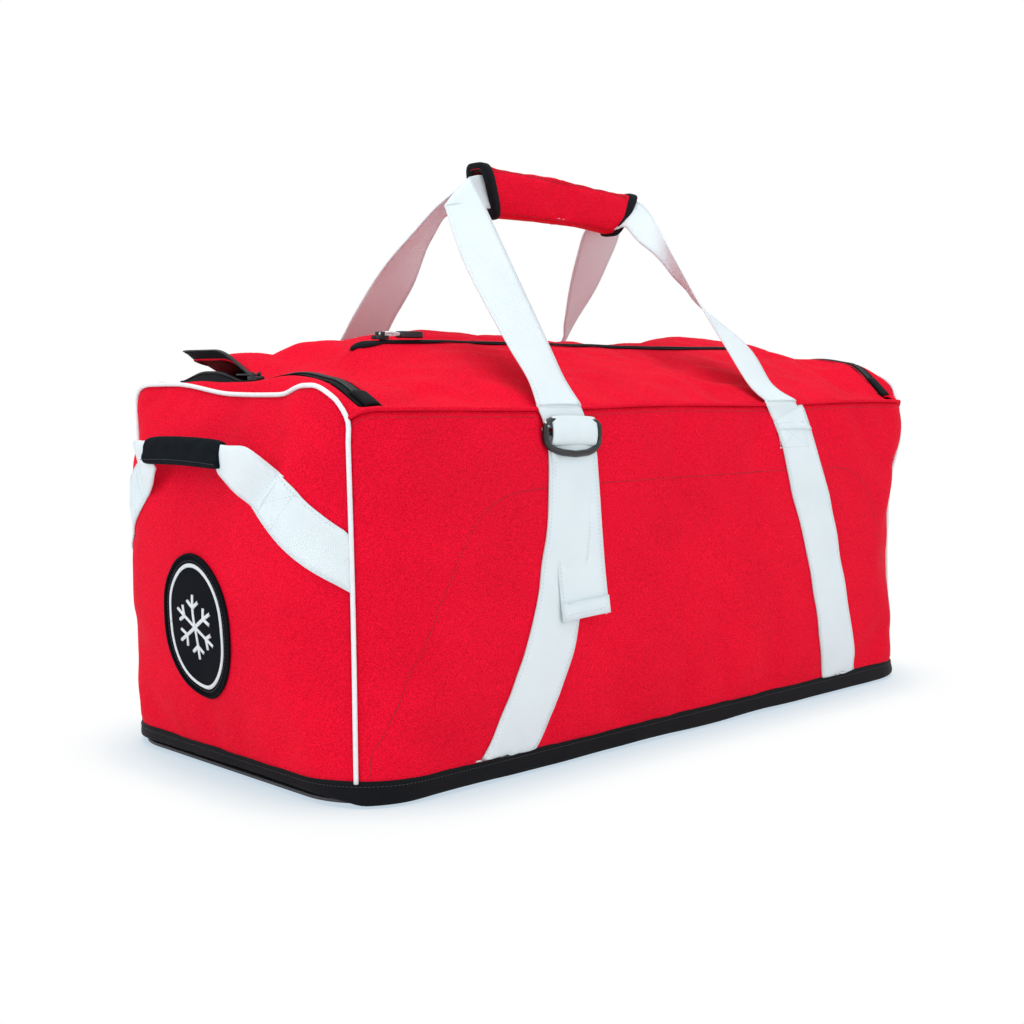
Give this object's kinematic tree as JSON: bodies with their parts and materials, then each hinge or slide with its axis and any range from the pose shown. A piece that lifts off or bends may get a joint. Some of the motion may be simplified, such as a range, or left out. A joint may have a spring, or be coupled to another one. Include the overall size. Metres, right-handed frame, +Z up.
{
  "type": "hockey equipment bag",
  "caption": "Soft rectangular equipment bag standing on its base, with a zipped lid, wide carry loops joined by a padded wrap, and a webbing handle on each end.",
  "frame": {"origin": "middle of the underside of the base, on the surface the bag stands on", "axes": "+Z up; +X along the bag to the end without the badge; -Y is the long side the lid is hinged on"},
  "size_m": [1.0514, 0.4403, 0.63],
  "materials": {
    "red_polyester": "heavy heathered polyester, matt",
    "black_polyester": "coated polyester, matt",
    "white_webbing": "woven webbing with a faint sheen",
    "white_piping": "cloth-covered cord, matt",
    "black_plastic": "moulded, satin",
    "black_zip_coil": "nylon coil, satin",
    "black_zip_tape": "woven polyester tape, matt",
    "stiffener_board": "extruded sheet, matt",
    "black_mesh": "knitted mesh, matt",
    "badge_black": "moulded patch, matt",
    "badge_white": "moulded patch, matt",
    "black_binding": "folded tape, matt",
    "black_grip": "ribbed neoprene sleeve, matt",
    "black_metal": "black enamel, satin",
    "white_cord": "braided cord, matt",
    "black_rubber": "moulded, matt"
  },
  "bodies": {
    "shell": {"base_panel": "black_polyester", "base_board": "stiffener_board", "front_panel": "red_polyester", "rear_panel": "red_polyester", "left_end_panel": "red_polyester", "right_end_panel": "red_polyester", "left_top_border": "red_polyester", "right_top_border": "red_polyester", "rear_top_border": "red_polyester", "left_piping": "white_piping", "right_piping": "white_piping", "front_seam_cord": "red_polyester", "rear_seam_cord": "red_polyester", "body_zip_tape": "black_zip_tape", "body_zip_coil": "black_zip_coil", "left_zip_patch": "black_zip_tape", "right_zip_patch": "black_zip_tape", "inner_pocket": "black_mesh", "inner_pocket_zip": "black_zip_tape", "front_left_strap": "white_webbing", "front_right_strap": "white_webbing", "rear_left_strap": "white_webbing", "rear_right_strap": "white_webbing", "strap_adjuster": "black_plastic", "adjuster_keeper": "white_webbing", "left_handle_front_anchor": "white_webbing", "left_handle_rear_anchor": "white_webbing", "right_handle_front_anchor": "white_webbing", "right_handle_rear_anchor": "white_webbing", "badge_patch": "badge_black", "badge_ring": "badge_white", "badge_snowflake": "badge_white"},
    "lid": {"lid_panel": "red_polyester", "lid_zip_tape": "black_zip_tape", "lid_zip_coil": "black_zip_coil", "lid_pocket_liner": "black_mesh", "pocket_zip_tape": "black_zip_tape", "pocket_zip_coil": "black_zip_coil"},
    "front_carry_loop": {"front_loop_webbing": "white_webbing", "handle_wrap": "red_polyester", "wrap_left_binding": "black_binding", "wrap_right_binding": "black_binding"},
    "rear_carry_loop": {"rear_loop_webbing": "white_webbing"},
    "left_handle": {"left_handle_loop": "white_webbing", "left_handle_grip": "black_grip"},
    "right_handle": {"right_handle_loop": "white_webbing", "right_handle_grip": "black_grip"},
    "strap_tail": {"strap_tail": "white_webbing"},
    "side_zip_slider": {"side_zip_slider": "black_metal"},
    "side_zip_pull": {"side_zip_pull": "black_metal"},
    "rear_zip_slider": {"rear_zip_slider": "black_metal"},
    "rear_zip_pull": {"rear_zip_pull": "black_metal"},
    "pocket_zip_slider": {"pocket_zip_slider": "black_metal"},
    "pocket_zip_pull": {"pocket_pull_loop": "white_cord", "pocket_pull_tab": "black_rubber"}
  },
  "joints": [
    {"name": "lid_hinge", "type": "hinge", "parent": "shell", "child": "lid", "pos_m": [0, -0.2105, 0.3645], "axis": [1, 0, 0], "range_deg": [0, 100], "deforming": ["handle_wrap", "wrap_left_binding", "wrap_right_binding"]},
    {"name": "front_loop_swing", "type": "hinge", "parent": "lid", "child": "front_carry_loop", "pos_m": [0, -0.2105, 0.3645], "axis": [1, 0, 0], "range_deg": [0, 50]},
    {"name": "rear_loop_swing", "type": "hinge", "parent": "shell", "child": "rear_carry_loop", "pos_m": [0, 0.2105, 0.3645], "axis": [-1, 0, 0], "range_deg": [0, 161]},
    {"name": "left_handle_swing", "type": "hinge", "parent": "shell", "child": "left_handle", "pos_m": [-0.474, 0, 0.285], "axis": [0, -1, 0], "range_deg": [-18, 100]},
    {"name": "right_handle_swing", "type": "hinge", "parent": "shell", "child": "right_handle", "pos_m": [0.474, 0, 0.285], "axis": [0, 1, 0], "range_deg": [-18, 100]},
    {"name": "strap_tail_swing", "type": "hinge", "parent": "shell", "child": "strap_tail", "pos_m": [-0.191, -0.2233, 0.325], "axis": [-1, 0, 0], "range_deg": [0, 80]},
    {"name": "side_zip_slide", "type": "slide", "parent": "shell", "child": "side_zip_slider", "axis": [0, 1, 0], "range_m": [-0.115, 0.1]},
    {"name": "side_zip_pull_turn", "type": "hinge", "parent": "side_zip_slider", "child": "side_zip_pull", "pos_m": [-0.4328, -0.012, 0.3954], "axis": [1, 0, 0], "range_deg": [0, 165]},
    {"name": "rear_zip_slide", "type": "slide", "parent": "shell", "child": "rear_zip_slider", "axis": [1, 0, 0], "range_m": [-0.07, 0.64]},
    {"name": "rear_zip_pull_turn", "type": "hinge", "parent": "rear_zip_slider", "child": "rear_zip_pull", "pos_m": [-0.3, 0.1648, 0.3954], "axis": [0, -1, 0], "range_deg": [0, 165]},
    {"name": "pocket_zip_slide", "type": "slide", "parent": "lid", "child": "pocket_zip_slider", "axis": [1, 0, 0], "range_m": [-0.029, 0.563]},
    {"name": "pocket_pull_turn", "type": "hinge", "parent": "pocket_zip_slider", "child": "pocket_zip_pull", "pos_m": [-0.305, -0.048, 0.4371], "axis": [0, -1, 0], "range_deg": [0, 165]}
  ],
  "couplings": [
    {"joint": "rear_loop_swing", "follows": "lid_hinge", "ratio": 1.6}
  ]
}
